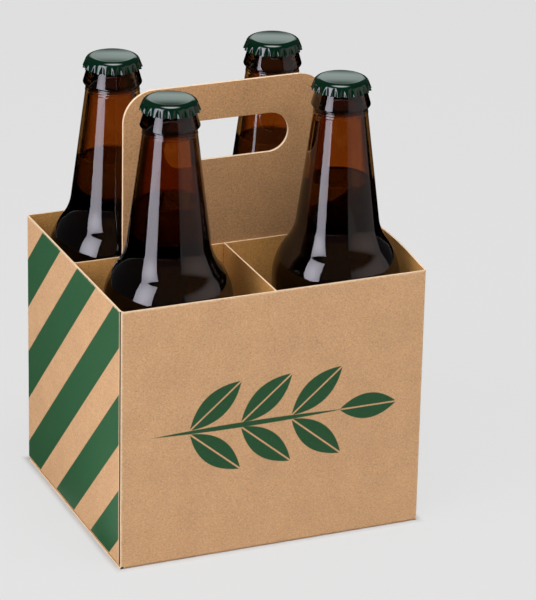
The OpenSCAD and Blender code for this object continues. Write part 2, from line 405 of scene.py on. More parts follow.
def edge_wear_and_painted_light_group() -> NodeGroup:
    """Paler rim and upright folds, partly wear and partly painted highlight where these edges catch the
    light, and painted shade in the seam at the front left corner.

    The pale band lies where a point reaches past the rim's or a fold's limit, roughened by noise. The seam
    is the groove beside the front wall's free edge: painted shade past a limit, and pale for a short way
    before it, by wear and painted highlight.

    Returns:
        Group with the colour: edges paler by wear and painted highlight, the seam darkened by painted shade.
    """
    group = NodeGroup(
        "worn edges",
        {
            "Point": ("NodeSocketVector", None),
            "Color": ("NodeSocketColor", KRAFT),
            "Half Width": ("NodeSocketFloat", 77.5),
            "Half Depth": ("NodeSocketFloat", 66.5),
            "Rim": ("NodeSocketFloat", 132.0),
            "Amount": ("NodeSocketFloat", 0.7),
            "Seam": ("NodeSocketFloat", 0.0),
        },
        {"Color": "NodeSocketColor"},
    )
    graph = group.graph
    point = graph.scaled(group.inputs["Point"], 1.0 / MM)
    # Reach and blur of the pale band at folds and rim: wear with painted highlight.
    fold_width, rim_width, wear_and_highlight_blur, ragged = 0.75, 0.6, 0.8, 1.6
    # Reach and blur of the seam's painted shade and of the pale line before it.
    seam_side, seam_front, seam_blur = 1.8, 2.15, 0.3
    lip_width, lip_ragged = 0.7, 0.2
    split = graph.split(point)
    past_side = graph.past(split["X"], group.inputs["Half Width"])
    past_front = graph.past(split["Y"], group.inputs["Half Depth"])
    fold = graph.math("ADD", graph.math("MINIMUM", past_side, past_front), fold_width)
    rim = graph.math("ADD", graph.math("SUBTRACT", split["Z"], group.inputs["Rim"]), rim_width)
    rough = graph.math("MULTIPLY_ADD", graph.noise(point, 0.7, 3.0), ragged, -ragged / 2.0)
    reach = graph.math("ADD", graph.math("MAXIMUM", fold, rim), rough)
    left = graph.math("SUBTRACT", graph.math("MULTIPLY", split["X"], -1.0), group.inputs["Half Width"])
    front = graph.math("SUBTRACT", graph.math("MULTIPLY", split["Y"], -1.0), group.inputs["Half Depth"])
    groove = graph.math("MINIMUM", graph.math("ADD", left, seam_side), graph.math("ADD", front, seam_front))
    lip = graph.math("MULTIPLY_ADD", rough, lip_ragged, graph.math("ADD", groove, lip_width))
    lip = graph.math("MULTIPLY", graph.soft_edge(lip, seam_blur), group.inputs["Seam"])
    mask = graph.math("MAXIMUM", graph.soft_edge(reach, wear_and_highlight_blur), lip)
    mask = graph.math("MULTIPLY", mask, group.inputs["Amount"])
    # Paler edges: wear with painted highlight.
    worn_and_highlit = graph.mix(mask, group.inputs["Color"], WORN_AND_HIGHLIT_KRAFT)
    # Painted shade in the seam's groove.
    shaded = graph.math("MULTIPLY", graph.soft_edge(groove, seam_blur), group.inputs["Seam"])
    group.give("Color", graph.mix(shaded, worn_and_highlit, SEAM_SHADE))
    return group


def leaf_group() -> NodeGroup:
    """Almond leaf: half its width times one minus the square of the way along, less the way across.

    Returns:
        Group with the leaf's mask, bare along its middle rib.
    """
    group = NodeGroup(
        "leaf mask",
        {
            "Point": ("NodeSocketVector", None),
            "Centre": ("NodeSocketVector", None),
            "Turn": ("NodeSocketFloat", 0.0),
            "Half Length": ("NodeSocketFloat", 15.0),
            "Half Width": ("NodeSocketFloat", 6.0),
            "Rib": ("NodeSocketFloat", 0.4),
        },
        {"Mask": "NodeSocketFloat"},
    )
    graph = group.graph
    ends = {0: group.inputs["Point"], 1: group.inputs["Centre"]}
    away = graph.add("ShaderNodeVectorMath", ends, operation="SUBTRACT").outputs[0]
    turned_by = {"Vector": away, "Angle": group.inputs["Turn"]}
    laid = graph.add("ShaderNodeVectorRotate", turned_by, rotation_type="Y_AXIS").outputs[0]
    split = graph.split(laid)
    along = graph.math("DIVIDE", split["X"], group.inputs["Half Length"])
    across = graph.math("ABSOLUTE", split["Z"])
    edge = graph.math("SUBTRACT", 1.0, graph.math("MULTIPLY", along, along))
    edge = graph.math("SUBTRACT", graph.math("MULTIPLY", edge, group.inputs["Half Width"]), across)
    blur = 0.3
    rib = graph.soft_edge(graph.math("SUBTRACT", across, group.inputs["Rib"]), blur)
    group.give("Mask", graph.math("MULTIPLY", graph.soft_edge(edge, blur), rib))
    return group


class Groups:
    """The node groups that the finishes share."""

    kraft: NodeGroup
    ink: NodeGroup
    # Paler edges by wear and painted highlight, and painted shade in the corner seam.
    wear: NodeGroup
    leaf: NodeGroup

    @classmethod
    def build(cls) -> None:
        """Makes each group once."""
        cls.kraft = kraft_group()
        cls.ink = ink_group()
        cls.wear = edge_wear_and_painted_light_group()
        cls.leaf = leaf_group()


def blank_material(name: str) -> tuple[bpy.types.Material, Graph, bpy.types.Node]:
    """New node material with a Principled shader.

    Args:
        name: name of the material.

    Returns:
        The material, its graph and its Principled node.
    """
    material = bpy.data.materials.new(name)
    material.use_nodes = True
    return material, Graph(material.node_tree), material.node_tree.nodes["Principled BSDF"]


class Print(Enum):
    """What is printed on a card face."""

    NONE = "none"
    SPRIG = "sprig"
    STRIPES = "stripes"


@dataclass(frozen=True)
class Sprig:
    """Leaf sprig across the front wall: leaves in pairs on a straight stem, and one at its end."""

    middle_z: float = 66.0
    stem_from: float = -62.0
    stem_to: float = 36.0
    joints: tuple[float, ...] = (-44.0, -18.0, 8.0)
    leaf_turn: float = 40.0
    leaf_half_length: float = 17.0
    leaf_half_width: float = 6.6
    leaf_gap: float = 1.5
    rib: float = 0.4
    stem_half_width: float = 1.3
    tip_half_length: float = 15.0
    tip_back: float = 2.0

    def mask(self, graph: Graph, point: Socket) -> Socket:
        """Largest of the masks of the stem, the paired leaves and the leaf at the tip.

        Args:
            graph: graph of the material.
            point: place on the card in metres.

        Returns:
            Mask of the printed sprig.
        """
        flat = {0: point, 1: (1.0 / MM, 0.0, 1.0 / MM)}
        place = graph.add("ShaderNodeVectorMath", flat, operation="MULTIPLY").outputs[0]
        turn = math.radians(self.leaf_turn)
        reach = self.leaf_half_length + self.leaf_gap
        stem_half = (self.stem_to - self.stem_from) / 2.0
        no_rib = -1.0
        tip_x = self.stem_to + self.tip_half_length - self.tip_back
        shapes = [
            (self.stem_from + stem_half, 0.0, 0.0, stem_half, self.stem_half_width, no_rib),
            (tip_x, 0.0, 0.0, self.tip_half_length, self.leaf_half_width, self.rib),
        ]
        for joint in self.joints:
            for side in (-1.0, 1.0):
                x = joint + reach * math.cos(turn)
                z = side * reach * math.sin(turn)
                shapes.append((x, z, side * turn, self.leaf_half_length, self.leaf_half_width, self.rib))
        total: Socket | None = None
        for x, z, angle, half_length, half_width, rib in shapes:
            leaf = Groups.leaf.place(graph, {
                "Point": place,
                "Centre": (x, 0.0, self.middle_z + z),
                "Turn": angle,
                "Half Length": half_length,
                "Half Width": half_width,
                "Rib": rib,
            })["Mask"]
            total = leaf if total is None else graph.math("MAXIMUM", total, leaf)
        return total


@dataclass(frozen=True)
class Stripes:
    """Slanting bands on the end wall: even distance from the nearest band's middle, across y plus z."""

    middle: float = 62.6
    period: float = 49.4
    half_band: float = 12.9
    blur: float = 0.5

    def mask(self, graph: Graph, point: Socket) -> Socket:
        """Mask that is one within half a band of the nearest band's middle.

        Args:
            graph: graph of the material.
            point: place on the card in metres.

        Returns:
            Mask of the printed bands.
        """
        split = graph.split(point)
        across = graph.math("ADD", split["Y"], split["Z"])
        bands = graph.math("MULTIPLY_ADD", across, 1.0 / (MM * self.period), -self.middle / self.period)
        away = graph.math("ABSOLUTE", graph.math("SUBTRACT", bands, graph.math("ROUND", bands)))
        return graph.soft_edge(graph.math("MULTIPLY_ADD", away, -self.period, self.half_band), self.blur)


@dataclass(frozen=True)
class CardFinish:
    """Uncoated kraft card, bare or printed."""

    name: str
    paper: Color
    grain: float = 1.0
    flecks: float = 0.45
    bump: float = 0.25
    tooth: float = 0.2
    specular: float = 0.22
    # How much paler the rim and folds are: wear with painted highlight.
    wear: float = 0.0
    # How strongly the corner seam is darkened by painted shade, with a pale line beside it.
    seam: float = 0.0
    print: Print = Print.NONE
    ink: Color = GREEN_INK
    ink_gloss: float = 0.06

    def material(self) -> bpy.types.Material:
        """Kraft fibres under a print, with the fibres' height as bump; rim and folds paler by wear and
        painted highlight, and where asked the corner seam darkened by painted shade.

        Returns:
            The finished material.
        """
        material, graph, shader = blank_material(self.name)
        point = graph.point()
        kraft = Groups.kraft.place(graph, {
            "Point": point, "Paper": self.paper, "Grain": self.grain, "Flecks": self.flecks,
        })
        color = kraft["Color"]
        roughness = kraft["Roughness"]
        if self.print is not Print.NONE:
            mask = (Sprig() if self.print is Print.SPRIG else Stripes()).mask(graph, point)
            color = Groups.ink.place(graph, {
                "Paper": color, "Ink": self.ink, "Mask": mask, "Height": kraft["Height"],
            })["Color"]
            roughness = graph.math("MULTIPLY_ADD", mask, -self.ink_gloss, roughness)
        # Paler rim and folds by wear and painted highlight, and where asked the seam's painted shade.
        if self.wear > 0.0:
            half_w, half_d, rim = (float(size) for size in node_box("carrier_box")[1])
            color = Groups.wear.place(graph, {
                "Point": point, "Color": color, "Half Width": half_w, "Half Depth": half_d, "Rim": rim,
                "Amount": self.wear, "Seam": self.seam,
            })["Color"]
        bump = {"Height": kraft["Height"], "Strength": self.bump, "Distance": self.tooth * MM}
        graph.feed(shader, {
            "Base Color": color,
            "Roughness": roughness,
            "Normal": graph.add("ShaderNodeBump", bump).outputs[0],
            "Specular IOR Level": self.specular,
        })
        return material


@dataclass(frozen=True)
class GlassFinish:
    """Coloured clear glass or liquid, of one tint below and another above, with a faintly uneven surface.

    A liquid's level is clearer than its body, since light that enters there crosses less of it.
    """

    name: str
    tint: Color
    tint_above: Color
    change: tuple[float, float]
    ior: float
    mottle: float = 0.16
    unevenness: float = 0.03
    wave_height: float = 2.0
    aslant: tuple[float, float] = (0.35, 0.62)
    edge: float = 1.0
    level: float | None = None
    level_tint: Color = (0.8, 0.8, 0.6, 1.0)

    def material(self) -> bpy.types.Material:
        """Transmitting shader, its tint changing with height and deepening where the wall is seen aslant.

        Returns:
            The finished material.
        """
        material, graph, shader = blank_material(self.name)
        point = graph.point()
        cloud = graph.noise(point, 60.0, 1.0)
        shade = graph.math("MULTIPLY_ADD", cloud, self.mottle, 1.0 - self.mottle / 2.0)
        facing = graph.add("ShaderNodeLayerWeight", {"Blend": 0.5}).outputs["Facing"]
        shade = graph.math("MULTIPLY", shade, graph.smooth(facing, *self.aslant, 1.0, self.edge))
        height = graph.split(point)["Z"]
        low, high = (level * MM for level in self.change)
        tint = graph.mix(graph.smooth(height, low, high), self.tint, self.tint_above)
        if self.level is not None:
            on_top = graph.math("GREATER_THAN", height, self.level * MM)
            tint = graph.mix(on_top, tint, self.level_tint)
        wave = graph.noise(point, 45.0, 1.5)
        bump = {"Height": wave, "Strength": self.unevenness, "Distance": self.wave_height * MM}
        graph.feed(shader, {
            "Base Color": graph.scaled(tint, shade),
            "Normal": graph.add("ShaderNodeBump", bump).outputs[0],
            "Transmission Weight": 1.0,
            "Roughness": 0.0,
            "IOR": self.ior,
        })
        return material


@dataclass(frozen=True)
class EnamelFinish:
    """Stoved enamel on thin sheet metal, or a plain moulded disc when dull."""

    name: str
    color: Color
    roughness: float
    coat: float
    coat_roughness: float = 0.025
    specular: float = 0.5
    mottle: float = 0.5
    wear: float = 0.12
    peel: float = 0.05
    peel_height: float = 0.3

    def material(self) -> bpy.types.Material:
        """Coloured ground with slight orange peel under a clear coat.

        Returns:
            The finished material.
        """
        material, graph, shader = blank_material(self.name)
        point = graph.point()
        cloud = graph.noise(point, 220.0, 3.0)
        shade = graph.math("MULTIPLY_ADD", cloud, self.mottle, 1.0 - self.mottle / 2.0)
        rough = graph.math("MULTIPLY_ADD", cloud, self.wear, self.roughness - self.wear / 2.0)
        peel = graph.noise(point, 900.0, 1.0)
        bump = {"Height": peel, "Strength": self.peel, "Distance": self.peel_height * MM}
        graph.feed(shader, {
            "Base Color": graph.scaled(self.color[:3], shade),
            "Roughness": rough,
            "Normal": graph.add("ShaderNodeBump", bump).outputs[0],
            "Coat Weight": self.coat,
            "Coat Roughness": self.coat_roughness,
            "Specular IOR Level": self.specular,
        })
        return material


class CardFace(IntEnum):
    """Material number of each kind of face on a card piece."""

    OUTSIDE = 0
    INSIDE = 1
    CUT = 2
    FRONT = 3
    END = 4


class Lay(Enum):
    """Model axes of a folded sheet: two across its creases, then the one that its creases run along."""

    UPRIGHT = (0, 1, 2)
    LENGTHWISE = (1, 2, 0)
    DEEP = (0, 2, 1)


@dataclass
class FoldPath:
    """Outside line of a folded sheet, straight runs joined by quarter rounds that all turn left."""

    corners: Array
    radius: float = 1.0
    steps: int = 6

    def __post_init__(self) -> None:
        """Works out the length, start and direction of each straight run."""
        legs = np.diff(self.corners, axis=0)
        length = np.linalg.norm(legs, axis=1)
        number = np.arange(len(legs))
        self.along = legs / length[:, None]
        self.outward = np.stack([self.along[:, 1], -self.along[:, 0]], axis=1)
        after_fold = self.radius * (number > 0)
        self.length = length - after_fold - self.radius * (number < len(legs) - 1)
        bend = self.radius * np.pi / 2.0
        self.start = np.concatenate([[0.0], np.cumsum(self.length[:-1] + bend)])
        self.end = self.start + self.length
        self.origin = self.corners[:-1] + self.along * after_fold[:, None]

    def at(self, way: Array) -> tuple[Array, Array]:
        """Place and outward direction along the line.

        On a run the place is its origin plus the way along it. Past its end the outward direction
        turns left by the way over the radius, and the place moves by the radius times that change.

        Args:
            way: lengths along the line.

        Returns:
            Points and outward directions.
        """
        run = np.clip(np.searchsorted(self.start, way, side="right") - 1, 0, len(self.start) - 1)
        past = way - self.start[run]
        straight = np.minimum(past, self.length[run])[:, None]
        turn = (np.maximum(past - self.length[run], 0.0) / self.radius)[:, None]
        outward = self.outward[run] * np.cos(turn) + self.along[run] * np.sin(turn)
        point = self.origin[run] + self.along[run] * straight + self.radius * (outward - self.outward[run])
        return point, outward

    def creases(self) -> Array:
        """Lengths at which the folds start, step and end."""
        share = np.linspace(0.0, 1.0, self.steps + 1)
        return (self.end[:-1, None] + share * (self.start[1:] - self.end[:-1])[:, None]).ravel()


def within(loops: list[Array], points: Array) -> Array:
    """Even-odd test: a point is inside where a line to its right crosses the loops an odd number of times.

    Args:
        loops: closed outlines.
        points: points to test.

    Returns:
        True for each point inside.
    """
    crossings = np.zeros(len(points), dtype=int)
    x, y = points[:, :1], points[:, 1:]
    for loop in loops:
        after = np.roll(loop, -1, axis=0)
        rise = after[:, 1] - loop[:, 1]
        spans = (loop[:, 1] > y) != (after[:, 1] > y)
        cut = loop[:, 0] + (y - loop[:, 1]) * (after[:, 0] - loop[:, 0]) / np.where(rise == 0.0, 1.0, rise)
        crossings += (spans & (x < cut)).sum(axis=1)
    return crossings % 2 == 1


def cut_blank(loops: list[Array], columns: Array, rows: Array) -> tuple[Array, Array]:
    """Triangles of a flat blank, with edges along its outlines and along straight lines across it.

    Args:
        loops: outlines of the blank and of its holes.
        columns: first coordinates of lines through the blank.
        rows: second coordinates of lines through the blank.

    Returns:
        Points of the blank and its triangles.
    """
    outline = np.concatenate(loops)
    starts = np.cumsum([0] + [len(loop) for loop in loops])
    numbers = [np.arange(first, last) for first, last in zip(starts, starts[1:])]
    edges = [np.stack([number, np.roll(number, -1)], axis=1) for number in numbers]
    low, high = outline.min(axis=0) - 1.0, outline.max(axis=0) + 1.0
    upright = np.stack([np.repeat(columns, 2), np.tile([low[1], high[1]], len(columns))], axis=1)
    level = np.stack([np.tile([low[0], high[0]], len(rows)), np.repeat(rows, 2)], axis=1)
    lines = np.arange(len(outline), len(outline) + len(upright) + len(level)).reshape(-1, 2)
    points = np.concatenate([outline, upright, level])
    links = np.concatenate(edges + [lines])
    found = delaunay_2d_cdt(points.tolist(), links.tolist(), [], 0, 1e-6)
    points, triangles = np.array([tuple(point) for point in found[0]]), np.array(found[2])
    triangles = triangles[within(loops, points[triangles].mean(axis=1))]
    used, renumbered = np.unique(triangles, return_inverse=True)
    return points[used], renumbered.reshape(-1, 3)


@dataclass
class CardSheet:
    """Die-cut blank of card, folded along a path and given its thickness."""

    path: FoldPath
    lay: Lay
    loops: list[Array]
    thickness: float
    columns: Array = field(default_factory=lambda: np.zeros(0))
    rows: Array = field(default_factory=lambda: np.zeros(0))
    bow: Callable[[Array], Array] | None = None
    outside_look: Callable[[Array], Array] | None = None

    def shell(self) -> Shell:
        """Outside face on the folding path, inside face one thickness in, and cut edges between them.

        A point of the blank goes to the path's place at its first coordinate, moved along the crease
        axis by its second. The inside point lies one thickness against the outward direction.

        Returns:
            Closed shell with outside, inside and cut faces.
        """
        columns = np.concatenate([self.path.creases(), self.columns])
        blank, triangles = cut_blank(self.loops, columns, self.rows)
        place, outward = self.path.at(blank[:, 0])
        first, second, crease = self.lay.value
        outside = np.zeros((len(blank), 3))
        outside[:, first], outside[:, second], outside[:, crease] = place[:, 0], place[:, 1], blank[:, 1]
        normal = np.zeros_like(outside)
        normal[:, first], normal[:, second] = outward[:, 0], outward[:, 1]
        inside = outside - self.thickness * normal
        a, b, c = outside[triangles].transpose(1, 0, 2)
        if np.einsum("ij,ij->", np.cross(b - a, c - a), normal[triangles[:, 0]]) < 0.0:
            triangles = triangles[:, ::-1]
        if self.bow is not None:
            moved = self.bow(outside)
            outside, inside = outside + moved, inside + moved
        count = len(blank)
        sides = np.concatenate([triangles[:, [0, 1]], triangles[:, [1, 2]], triangles[:, [2, 0]]])
        rim = sides[~np.isin(sides[:, 0] * count + sides[:, 1], sides[:, 1] * count + sides[:, 0])]
        cut = np.stack([rim[:, 1], rim[:, 0], rim[:, 0] + count, rim[:, 1] + count], axis=1)
        faces = np.full(len(triangles), CardFace.OUTSIDE)
        if self.outside_look is not None:
            faces = self.outside_look(blank[triangles].mean(axis=1)[:, 0])
        looks = [faces, np.full(len(triangles), CardFace.INSIDE), np.full(len(cut), CardFace.CUT)]
        return Shell(np.concatenate([outside, inside]), [triangles, triangles[:, ::-1] + count, cut], looks)


@dataclass
class CardStock:
    """The card and its finishes."""

    ply: float = 0.8
    fold_r: float = 0.5
    play: float = 0.2
    flap_back: float = 1.5
    base_flap_h: float = 22.0
    slant: float = 8.0
    # wear: rim and folds paler by wear and painted highlight; seam: painted shade in the front left groove.
    outside: CardFinish = CardFinish("kraft_outside", KRAFT, wear=0.7, seam=1.0)
    # Inner card: its own tone, made more saturated as painted bounce light from the walls around it.
    inside: CardFinish = CardFinish("kraft_inside", (0.62, 0.31, 0.09, 1.0), grain=1.1)
    cut: CardFinish = CardFinish("kraft_cut_edge", (0.78, 0.57, 0.38, 1.0), grain=0.6, flecks=0.2, bump=0.4)
    front: CardFinish = CardFinish("kraft_front_print", KRAFT, wear=0.7, print=Print.SPRIG)
    end: CardFinish = CardFinish("kraft_end_print", KRAFT, wear=0.7, seam=1.0, print=Print.STRIPES)
    # Handle card darker than the inner card: painted shade of the bottles that stand round the handle.
    grip: CardFinish = CardFinish("kraft_handle", (0.475, 0.258, 0.117, 1.0), grain=1.5, flecks=0.6)

    def __post_init__(self) -> None:
        """Works out the outside radius of a fold and makes the materials in the order of CardFace."""
        self.fold_out = self.fold_r + self.ply
        finishes = (self.outside, self.inside, self.cut, self.front, self.end)
        self.materials = [finish.material() for finish in finishes]
        inside, cut = self.materials[CardFace.INSIDE], self.materials[CardFace.CUT]
        grip = self.grip.material()
        self.inner_materials = [inside, inside, cut]
        self.grip_materials = [grip, grip, cut]


@dataclass(frozen=True)
class SprungRim:
    """Loose upper edge of the right wall, which springs outwards between its corners."""

    wall_x: float
    half_d: float
    wall_h: float
    depth: float = 3.4
    skew: float = 0.72
    still: float = 40.0
    rise: float = 1.5
    rows: int = 8
    fade: float = 1.0

    def move(self, points: Array) -> Array:
        """Depth times the squared sine of half a turn along the wall times a power of the way up.

        Args:
            points: points of the unbent sheet.

        Returns:
            Move of each point, which dies away within the fade from the wall.
        """
        on_wall = np.clip((points[:, 0] - self.wall_x + self.fade) / self.fade, 0.0, 1.0)
        way = np.clip((points[:, 1] + self.half_d) / (2.0 * self.half_d), 0.0, 1.0)
        along = np.sin(np.pi * way ** self.skew) ** 2
        up = np.clip((points[:, 2] - self.still) / (self.wall_h - self.still), 0.0, 1.0) ** self.rise
        moved = np.zeros_like(points)
        moved[:, 0] = self.depth * on_wall * along * up
        return moved

    def levels(self) -> Array:
        """Heights of lines through the sheet at which it can bend."""
        return np.linspace(self.still, self.wall_h, self.rows + 1)[:-1]


@dataclass
class CarrierBox:
    """Four walls, base panel, end flaps and corner flap folded from one sheet of card."""

    stock: CardStock
    corner_flap_w: float = 16.0
    end_flap_gap: float = 12.0
    rim_columns: int = 24

    def __post_init__(self) -> None:
        """Takes the box's half width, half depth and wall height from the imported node."""
        self.half_w, self.half_d, self.wall_h = node_box("carrier_box")[1]
        self.foot = self.stock.ply + self.stock.fold_out
        self.rim = SprungRim(self.half_w, self.half_d, self.wall_h)

    def walls(self) -> Shell:
        """Strip of front, right, back and left wall with the corner flap that closes it.

        Returns:
            Shell of the strip, printed on its front and left wall.
        """
        stock = self.stock
        front_in = stock.ply - self.half_d
        path = FoldPath(np.array([
            [stock.play - self.half_w, -self.half_d],
            [self.half_w, -self.half_d],
            [self.half_w, self.half_d],
            [-self.half_w, self.half_d],
            [-self.half_w, front_in],
            [stock.fold_out - self.half_w + self.corner_flap_w, front_in],
        ]), stock.fold_out)
        start, end = path.start, path.end
        outline = np.array([
            [start[0], stock.fold_out], [end[0], stock.fold_out],
            [end[0], self.foot], [end[1], self.foot], [start[2], self.foot],
            [start[2], 0.0], [end[2], 0.0], [end[2], self.foot],
            [start[4], self.foot], [end[4], self.foot + stock.slant],
            [end[4], self.wall_h - stock.slant], [start[4], self.wall_h], [start[0], self.wall_h],
        ])
        looks = np.array([CardFace.FRONT, CardFace.OUTSIDE, CardFace.OUTSIDE, CardFace.END, CardFace.OUTSIDE])

        def look(way: Array) -> Array:
            """Kind of outside face at a length along the strip, each fold shared between its walls."""
            middle_of_fold = (end[:-1] + start[1:]) / 2.0
            return looks[np.searchsorted(middle_of_fold, way)]

        return CardSheet(
            path, Lay.UPRIGHT, [outline], stock.ply,
            columns=np.linspace(start[1], end[1], self.rim_columns),
            rows=self.rim.levels(),
            bow=self.rim.move, outside_look=look,
        ).shell()

    def base(self) -> Shell:
        """Base panel hinged on the front wall, with its flap turned up inside the back wall.

        Returns:
            Shell of the panel.
        """
        stock = self.stock
        back = self.half_d - stock.ply
        path = FoldPath(np.array([
            [-self.half_d, stock.fold_out + STUB],
            [-self.half_d, 0.0],
            [back, 0.0],
            [back, stock.base_flap_h],
        ]), stock.fold_out)
        wide = self.half_w - stock.play
        narrow = self.half_w - stock.ply - stock.flap_back
        turn = path.end[1]
        outline = np.array([
            [0.0, -wide], [turn, -wide], [turn, -narrow], [path.end[2], -narrow],
            [path.end[2], narrow], [turn, narrow], [turn, wide], [0.0, wide],
        ])
        return CardSheet(path, Lay.LENGTHWISE, [outline], stock.ply).shell()

    def end_flap(self, left: bool) -> Shell:
        """Flap folded in from the foot of an end wall, lying on the base panel.

        Args:
            left: True for the left end.

        Returns:
            Shell of the flap.
        """
        stock = self.stock
        inner = self.end_flap_gap / 2.0
        corners = [[inner, stock.ply], [self.half_w, stock.ply], [self.half_w, self.foot + STUB]]
        if left:
            corners = [[-x, z] for x, z in reversed(corners)]
        path = FoldPath(np.array(corners), stock.fold_out)
        front = stock.ply + stock.flap_back - self.half_d
        back = self.half_d - 2.0 * stock.ply - stock.flap_back
        outline = np.array([[0.0, front], [path.end[1], front], [path.end[1], back], [0.0, back]])
        return CardSheet(path, Lay.DEEP, [outline], stock.ply).shell()

    def build(self) -> bpy.types.Object:
        """Joins the strip, the base and both end flaps.

        Returns:
            The carrier.
        """
        shell = self.walls().joined(self.base()).joined(self.end_flap(False)).joined(self.end_flap(True))
        piece = shell.piece("folded_box", self.stock.materials)
        return install(piece, "carrier_box")


@dataclass
class Partitions:
    """Divider, cross partition and handle, which interlock in the middle of the box."""

    stock: CardStock
    tab_w: float = 14.0
    rim_fade: float = 30.0
    rim_columns: int = 7
    handle_corner_r: float = 15.5
    grip_w: float = 65.0
    grip_h: float = 20.0
    grip_drop: float = 28.0

    def __post_init__(self) -> None:
        """Takes the sheets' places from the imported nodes."""
        self.slot = self.stock.ply / 2.0 + self.stock.play
        low, high = node_box("divider")
        self.inner_x, self.floor, self.wall_h = high[0], low[2], high[2]
        self.divider_y = low[1]
        self.lap = (self.floor + self.wall_h) / 2.0
        half_d = node_box("carrier_box")[1][1]
        self.rim = SprungRim(self.inner_x, half_d, self.wall_h, fade=self.rim_fade)
        low, high = node_box("cross_partition")
        self.cross_front, self.cross_back, self.cross_foot = low[1], high[1], low[2]
        low, high = node_box("handle_panel")
        self.handle_half, self.handle_foot, self.handle_top = high[0], low[2], high[2]

    def divider(self) -> bpy.types.Object:
        """Sheet between front and back cells with a tab at each end and a slot from above.

        Returns:
            The divider.
        """
        stock = self.stock
        tab_back = self.divider_y + stock.fold_out + self.tab_w
        path = FoldPath(np.array([
            [-self.inner_x, tab_back],
            [-self.inner_x, self.divider_y],
            [self.inner_x, self.divider_y],
            [self.inner_x, tab_back],
        ]), stock.fold_out)
        middle = (path.start[1] + path.end[1]) / 2.0
        foot = self.floor + stock.fold_r
        slot_foot = self.lap - stock.play
        outline = np.array([
            [0.0, foot + stock.slant], [path.end[0], foot], [path.start[1], foot],
            [path.start[1], self.floor], [path.end[1], self.floor], [path.end[1], foot],
            [path.start[2], foot], [path.end[2], foot + stock.slant],
            [path.end[2], self.wall_h - stock.slant], [path.start[2], self.wall_h],
            [middle + self.slot, self.wall_h], [middle + self.slot, slot_foot],
            [middle - self.slot, slot_foot], [middle - self.slot, self.wall_h],
            [path.end[0], self.wall_h], [0.0, self.wall_h - stock.slant],
        ])
        sheet = CardSheet(
            path, Lay.UPRIGHT, [outline], stock.ply,
            columns=np.linspace(path.end[1] - self.rim.fade, path.end[1], self.rim_columns),
            rows=self.rim.levels(),
            bow=self.rim.move,
        )
        piece = sheet.shell().piece("cell_divider", stock.inner_materials)
        return install(piece, "divider")

    def cross(self) -> bpy.types.Object:
        """Sheet from the front wall to the back wall, slotted from below over the divider.

        Returns:
            The cross partition.
        """
        stock = self.stock
        face = stock.ply / 2.0
        path = FoldPath(np.array([[face, self.cross_front], [face, self.cross_back]]))
        flap = self.cross_back - stock.ply
        flap_top = stock.base_flap_h + stock.play
        slot_front = self.divider_y - stock.play
        slot_back = self.divider_y + stock.ply + stock.play
        slot_top = self.lap + stock.play
        outline = np.array([
            [self.cross_front + stock.fold_r, self.cross_foot],
            [slot_front, self.cross_foot], [slot_front, slot_top], [slot_back, slot_top],
            [slot_back, self.cross_foot], [flap - stock.fold_r, self.cross_foot],
            [flap, self.cross_foot + stock.fold_r], [flap, flap_top], [self.cross_back, flap_top],
            [self.cross_back, self.wall_h], [self.cross_front, self.wall_h],
            [self.cross_front, self.cross_foot + stock.fold_r],
        ]) - [self.cross_front, 0.0]
        sheet = CardSheet(path, Lay.UPRIGHT, [outline], stock.ply)
        piece = sheet.shell().piece("cross_sheet", stock.inner_materials)
        return install(piece, "cross_partition")

    def handle(self) -> bpy.types.Object:
        """Two plies with round upper corners and a hand slot with round ends, slotted from below.

        Returns:
            The handle.
        """
        stock = self.stock
        half, top = self.handle_half, self.handle_top
        corner_x, corner_z = half - self.handle_corner_r, top - self.handle_corner_r
        grip_x, grip_z = (self.grip_w - self.grip_h) / 2.0, top - self.grip_drop
        slot_top = self.wall_h + stock.play
        path = FoldPath(np.array([[-half, -stock.ply], [half, -stock.ply]]))
        outline = np.concatenate([
            [[-half, self.handle_foot], [-self.slot, self.handle_foot], [-self.slot, slot_top],
             [self.slot, slot_top], [self.slot, self.handle_foot], [half, self.handle_foot]],
            arc((corner_x, corner_z), self.handle_corner_r, 0.0, 90.0, 20),
            arc((-corner_x, corner_z), self.handle_corner_r, 90.0, 180.0, 20),
        ]) + [half, 0.0]
        grip = np.concatenate([
            arc((grip_x, grip_z), self.grip_h / 2.0, -90.0, 90.0, 28),
            arc((-grip_x, grip_z), self.grip_h / 2.0, 90.0, 270.0, 28),
        ]) + [half, 0.0]
        sheet = CardSheet(path, Lay.UPRIGHT, [outline, grip], 2.0 * stock.ply)
        piece = sheet.shell().piece("carry_handle", stock.grip_materials)
        return install(piece, "handle_panel")


